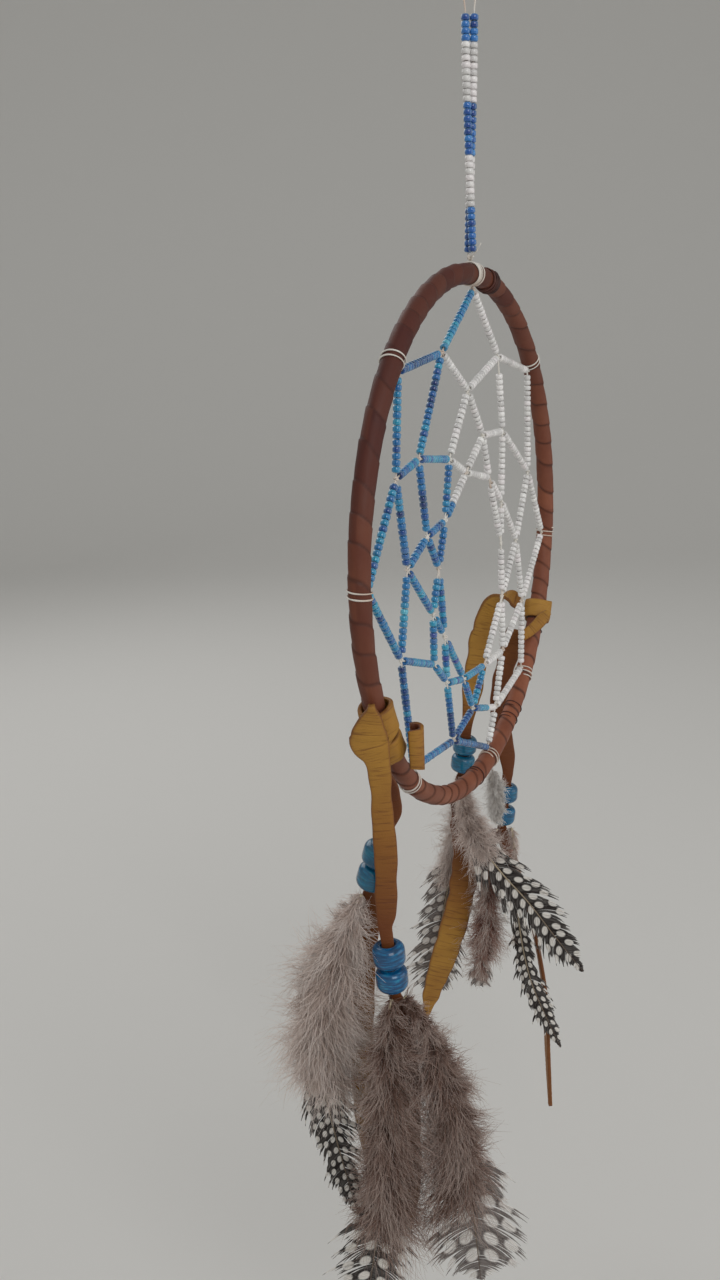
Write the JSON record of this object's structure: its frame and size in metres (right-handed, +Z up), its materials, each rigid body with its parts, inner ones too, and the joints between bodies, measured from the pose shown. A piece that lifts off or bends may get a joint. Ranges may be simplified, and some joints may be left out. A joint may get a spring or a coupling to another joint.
{
  "type": "dream catcher",
  "caption": "Leather-wrapped hoop with a bead-strung thread web, hung from a beaded loop, with leather thongs below that carry glass beads and spotted feathers.",
  "frame": {"origin": "seat of the hanging loop on its hook, on the underside of the bend at the top of the loop", "axes": "+Z up, against gravity as it hangs; the hoop lies in the XZ plane and its front looks along -Y; +X runs from the blue half of the web to the white half"},
  "size_m": [0.1562, 0.0783, 0.3876],
  "materials": {
    "blue_seed_beads": "glossy translucent turquoise to capri blue glass with an iridescent coat",
    "loop_blue_beads": "glossy cobalt blue glass",
    "pearl_seed_beads": "pearl white glass with a soft lustre",
    "thread": "twisted waxed thread, off-white to tan",
    "steel_ring": "plain welded steel wire",
    "wrap_leather": "thin red-brown leather, smooth side out, dark cut edges",
    "thong_leather": "soft mustard-tan leather with fine cross wrinkles and a darker flesh side",
    "crow_bead_glass": "glossy turquoise-blue glass with faint swirls, opaque",
    "down": "soft grey-brown down",
    "dark_feather": "near-black guinea-fowl vane with white dots",
    "grey_feather": "pale grey guinea-fowl vane with white dots"
  },
  "bodies": {
    "loop": {"loop_thread": "thread", "loop_blue_beads": "loop_blue_beads", "loop_white_beads": "pearl_seed_beads"},
    "knot": {"loop_knot": "thread"},
    "hoop": {"loop_tie": "thread", "hoop_ring": "steel_ring", "hoop_wrap": "wrap_leather", "wrap_end_tie": "thread", "web_ties": "thread", "web_thread": "thread", "web_knots": "thread", "web_tuft": "down", "web_blue_beads_1": "blue_seed_beads", "web_blue_beads_2": "blue_seed_beads", "web_blue_beads_3": "blue_seed_beads", "web_blue_beads_4": "blue_seed_beads", "web_blue_beads_5": "blue_seed_beads", "web_white_beads_1": "pearl_seed_beads", "web_white_beads_2": "pearl_seed_beads", "web_white_beads_3": "pearl_seed_beads", "web_white_beads_4": "pearl_seed_beads", "web_white_beads_5": "pearl_seed_beads", "left_front_band": "thong_leather", "left_back_band": "thong_leather", "left_cape": "thong_leather", "left_bight": "thong_leather", "right_band": "thong_leather", "right_fold": "thong_leather", "right_arch": "thong_leather"},
    "left_front_thong": {"left_front_thong": "thong_leather"},
    "left_front_beads": {"left_front_upper_bead": "crow_bead_glass", "left_front_lower_bead": "crow_bead_glass"},
    "left_front_dark_feather": {"left_front_dark_feather": "dark_feather"},
    "left_front_grey_feather": {"left_front_grey_feather": "down"},
    "left_back_thong": {"left_back_thong": "thong_leather"},
    "left_back_beads": {"left_back_upper_bead": "crow_bead_glass", "left_back_lower_bead": "crow_bead_glass"},
    "left_back_feather": {"left_back_feather": "down"},
    "right_front_thong": {"right_front_thong": "thong_leather"},
    "right_front_beads": {"right_front_upper_bead": "crow_bead_glass", "right_front_lower_bead": "crow_bead_glass"},
    "right_front_down_feather": {"right_front_down_feather": "down"},
    "right_front_narrow_feather": {"right_front_narrow_feather": "dark_feather"},
    "right_back_thong": {"right_back_thong": "thong_leather"},
    "right_back_beads": {"right_back_upper_bead": "crow_bead_glass", "right_back_lower_bead": "crow_bead_glass"},
    "right_back_spotted_feather": {"right_back_spotted_feather": "dark_feather"},
    "right_back_grey_feather": {"right_back_grey_feather": "grey_feather"}
  },
  "joints": [
    {"name": "hoop_twist", "type": "hinge", "parent": "loop", "child": "knot", "pos_m": [0, 0, -0.07065], "axis": [0, 0, 1], "range_deg": [-120, 120]},
    {"name": "hoop_swing", "type": "hinge", "parent": "knot", "child": "hoop", "pos_m": [0, 0, -0.071], "axis": [1, 0, 0], "range_deg": [-35, 35]},
    {"name": "left_front_swing", "type": "hinge", "parent": "hoop", "child": "left_front_thong", "pos_m": [-0.0721, 0, -0.1872], "axis": [-0.4384, 0.8988, 0], "range_deg": [0, 40]},
    {"name": "left_back_swing", "type": "hinge", "parent": "hoop", "child": "left_back_thong", "pos_m": [-0.0656, 0.0014, -0.1969], "axis": [1, 0, 0], "range_deg": [0, 40]},
    {"name": "right_front_swing", "type": "hinge", "parent": "hoop", "child": "right_front_thong", "pos_m": [0.0626, 0.0065, -0.192], "axis": [0, -1, 0], "range_deg": [0, 35]},
    {"name": "right_back_swing", "type": "hinge", "parent": "hoop", "child": "right_back_thong", "pos_m": [0.0592, 0.0228, -0.1952], "axis": [1, 0, 0], "range_deg": [0, 35]},
    {"name": "left_front_bead_slide", "type": "slide", "parent": "left_front_thong", "child": "left_front_beads", "axis": [-0.0597, 0.0796, 0.995], "range_m": [0, 0.004]},
    {"name": "left_back_bead_slide", "type": "slide", "parent": "left_back_thong", "child": "left_back_beads", "axis": [0, -0.2785, 0.9604], "range_m": [0, 0.004]},
    {"name": "right_front_bead_slide", "type": "slide", "parent": "right_front_thong", "child": "right_front_beads", "axis": [0, -0.0896, 0.996], "range_m": [0, 0.004]},
    {"name": "right_back_bead_slide", "type": "slide", "parent": "right_back_thong", "child": "right_back_beads", "axis": [0, -0.1191, 0.9929], "range_m": [0, 0.004]},
    {"name": "left_front_dark_splay", "type": "hinge", "parent": "left_front_thong", "child": "left_front_dark_feather", "pos_m": [-0.0656, -0.0014, -0.2636], "axis": [0, 1, 0], "range_deg": [0, 25]},
    {"name": "left_front_grey_splay", "type": "hinge", "parent": "left_front_thong", "child": "left_front_grey_feather", "pos_m": [-0.0628, -0.004, -0.2638], "axis": [-1, 0, 0], "range_deg": [0, 25]},
    {"name": "left_back_splay", "type": "hinge", "parent": "left_back_thong", "child": "left_back_feather", "pos_m": [-0.0596, 0.0096, -0.2378], "axis": [1, 0, 0], "range_deg": [0, 25]},
    {"name": "right_front_down_splay", "type": "hinge", "parent": "right_front_thong", "child": "right_front_down_feather", "pos_m": [0.06, 0.0124, -0.2686], "axis": [0, 1, 0], "range_deg": [0, 20]},
    {"name": "right_front_narrow_splay", "type": "hinge", "parent": "right_front_thong", "child": "right_front_narrow_feather", "pos_m": [0.063, 0.0076, -0.2688], "axis": [-1, 0, 0], "range_deg": [0, 25]},
    {"name": "right_back_spotted_splay", "type": "hinge", "parent": "right_back_thong", "child": "right_back_spotted_feather", "pos_m": [0.0569, 0.0254, -0.2489], "axis": [0, 1, 0], "range_deg": [0, 25]},
    {"name": "right_back_grey_splay", "type": "hinge", "parent": "right_back_thong", "child": "right_back_grey_feather", "pos_m": [0.061, 0.0266, -0.2489], "axis": [1, 0, 0], "range_deg": [0, 25]}
  ]
}
